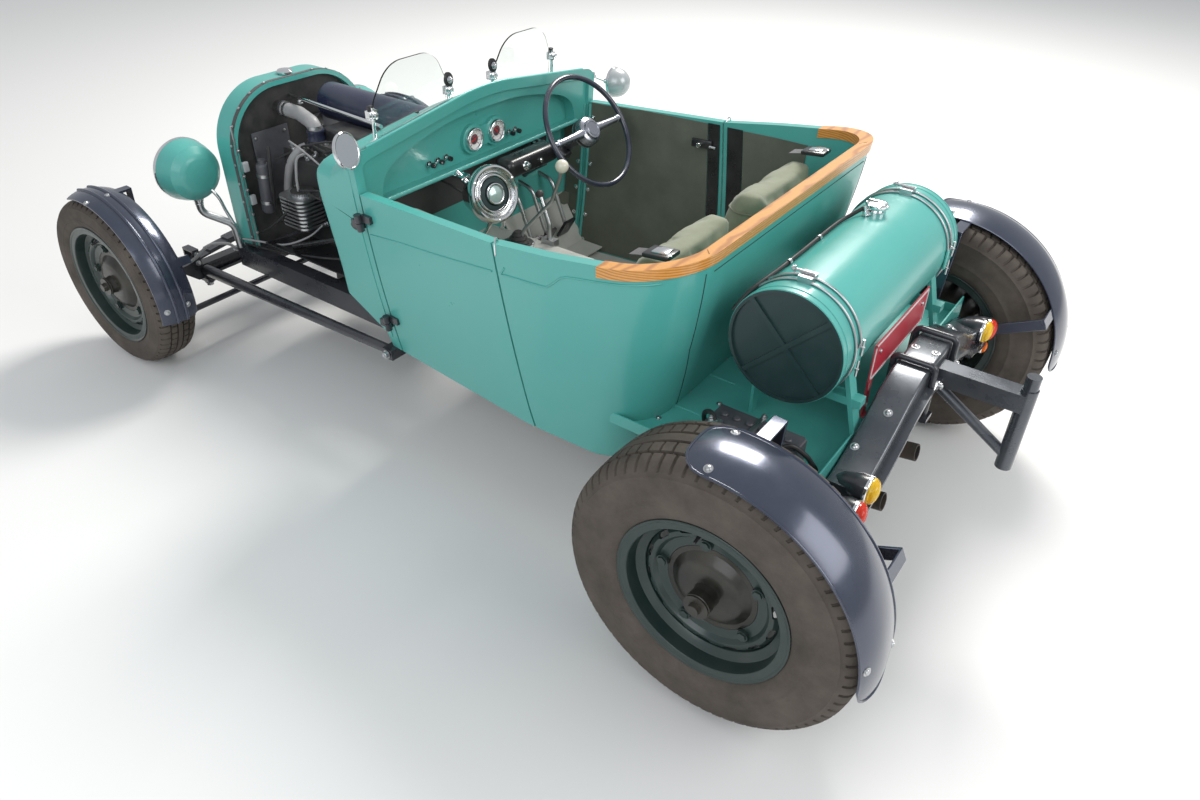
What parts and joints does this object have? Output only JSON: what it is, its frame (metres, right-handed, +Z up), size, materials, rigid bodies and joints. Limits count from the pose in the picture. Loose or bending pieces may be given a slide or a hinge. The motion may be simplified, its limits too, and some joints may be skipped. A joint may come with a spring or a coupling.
{
  "type": "hot rod car",
  "caption": "Open hot rod with a green tub body, timber-capped rear edge, narrow black frame, cross-mounted fuel tank, cycle mudguards and an exposed engine.",
  "frame": {"origin": "on the ground under the middle of the car's length and width", "axes": "+X towards the front of the car, +Y to its left, +Z up"},
  "size_m": [3.102, 1.619, 1.1434],
  "materials": {
    "black_paint": "satin black paint",
    "black_plastic": "black",
    "bright_steel": "dull bright steel",
    "carpet": "pale floor lining",
    "chrome": "polished",
    "clear": "clear",
    "core": "matt black with dust",
    "engine_black": "black enamel, oily",
    "green_paint": "satin green paint",
    "lamp_glass": "clear fluted",
    "lens": "red and amber",
    "plate_red": "red with a white border",
    "rust_steel": "heat-dulled black",
    "timber": "varnished golden timber",
    "tyre": "dusty tread rubber",
    "vinyl": "pale khaki seat cloth"
  },
  "bodies": {
    "chassis": {"aero_screens": "clear", "battery": "black_paint", "cowl": "green_paint", "cowl_hinges": "black_paint", "dash": "green_paint", "dash_fittings": "chrome", "engine": "engine_black", "engine_fittings": "engine_black", "exhaust": "rust_steel", "floor": "carpet", "frame": "black_paint", "front_axle": "black_paint", "front_stays": "bright_steel", "fuel_tank": "green_paint", "headlamp_lenses": "lamp_glass", "headlamps": "green_paint", "levers": "bright_steel", "mirrors": "chrome", "number_plate": "plate_red", "radiator": "core", "radiator_shell": "green_paint", "rear_axle": "black_paint", "rear_crossmember": "black_paint", "rear_deck": "green_paint", "rear_mudguards": "black_paint", "screen_strips": "chrome", "seats": "vinyl", "springs": "black_paint", "steering_column": "black_paint", "tail_lamp_bodies": "green_paint", "tail_lamp_lenses": "lens", "tank_straps": "bright_steel", "timber_rail": "timber", "tub": "green_paint"},
    "left_knuckle": {"knuckle_left": "black_paint", "front_mudguard_left": "black_paint"},
    "right_knuckle": {"knuckle_right": "black_paint", "front_mudguard_right": "black_paint"},
    "tie_rod": {"tie_rod": "black_paint"},
    "steering_wheel": {"steering_wheel": "black_plastic"},
    "left_door": {"door_left": "green_paint", "door_hinges_left": "black_paint"},
    "right_door": {"door_right": "green_paint", "door_hinges_right": "black_paint"},
    "front_left_wheel": {"front_tyre_left": "tyre", "front_rim_left": "green_paint", "front_hub_left": "engine_black"},
    "front_right_wheel": {"front_tyre_right": "tyre", "front_rim_right": "green_paint", "front_hub_right": "engine_black"},
    "rear_left_wheel": {"rear_tyre_left": "tyre", "rear_rim_left": "green_paint", "rear_hub_left": "engine_black"},
    "rear_right_wheel": {"rear_tyre_right": "tyre", "rear_rim_right": "green_paint", "rear_hub_right": "engine_black"}
  },
  "joints": [
    {"name": "left_steer", "type": "hinge", "parent": "chassis", "child": "left_knuckle", "pos_m": [1.251, 0.548, 0.3], "axis": [0, 0, 1], "range_deg": [-24, 24]},
    {"name": "right_steer", "type": "hinge", "parent": "chassis", "child": "right_knuckle", "pos_m": [1.251, -0.548, 0.3], "axis": [0, 0, 1], "range_deg": [-24, 24]},
    {"name": "tie_rod_swing", "type": "hinge", "parent": "left_knuckle", "child": "tie_rod", "pos_m": [1.111, 0.548, 0.195], "axis": [0, 0, 1], "range_deg": [-24, 24]},
    {"name": "steering_turn", "type": "hinge", "parent": "chassis", "child": "steering_wheel", "pos_m": [-0.074, -0.262, 0.852], "axis": [-0.8192, 0, 0.5736], "range_deg": [-300, 300]},
    {"name": "front_left_spin", "type": "hinge", "parent": "left_knuckle", "child": "front_left_wheel", "pos_m": [1.251, 0.666, 0.3], "axis": [0, 1, 0], "continuous": true},
    {"name": "front_right_spin", "type": "hinge", "parent": "right_knuckle", "child": "front_right_wheel", "pos_m": [1.251, -0.666, 0.3], "axis": [0, 1, 0], "continuous": true},
    {"name": "rear_left_spin", "type": "hinge", "parent": "chassis", "child": "rear_left_wheel", "pos_m": [-1.139, 0.692, 0.352], "axis": [0, 1, 0], "continuous": true},
    {"name": "rear_right_spin", "type": "hinge", "parent": "chassis", "child": "rear_right_wheel", "pos_m": [-1.139, -0.692, 0.352], "axis": [0, 1, 0], "continuous": true},
    {"name": "left_door_swing", "type": "hinge", "parent": "chassis", "child": "left_door", "pos_m": [0.099, 0.51061, 0.62], "axis": [0, -0.1338, -0.991], "range_deg": [0, 65]},
    {"name": "right_door_swing", "type": "hinge", "parent": "chassis", "child": "right_door", "pos_m": [0.099, -0.51061, 0.62], "axis": [0, -0.1338, 0.991], "range_deg": [0, 65]}
  ],
  "couplings": [
    {"joint": "right_steer", "follows": "left_steer", "ratio": 1},
    {"joint": "tie_rod_swing", "follows": "left_steer", "ratio": -1},
    {"joint": "steering_turn", "follows": "left_steer", "ratio": 12}
  ]
}
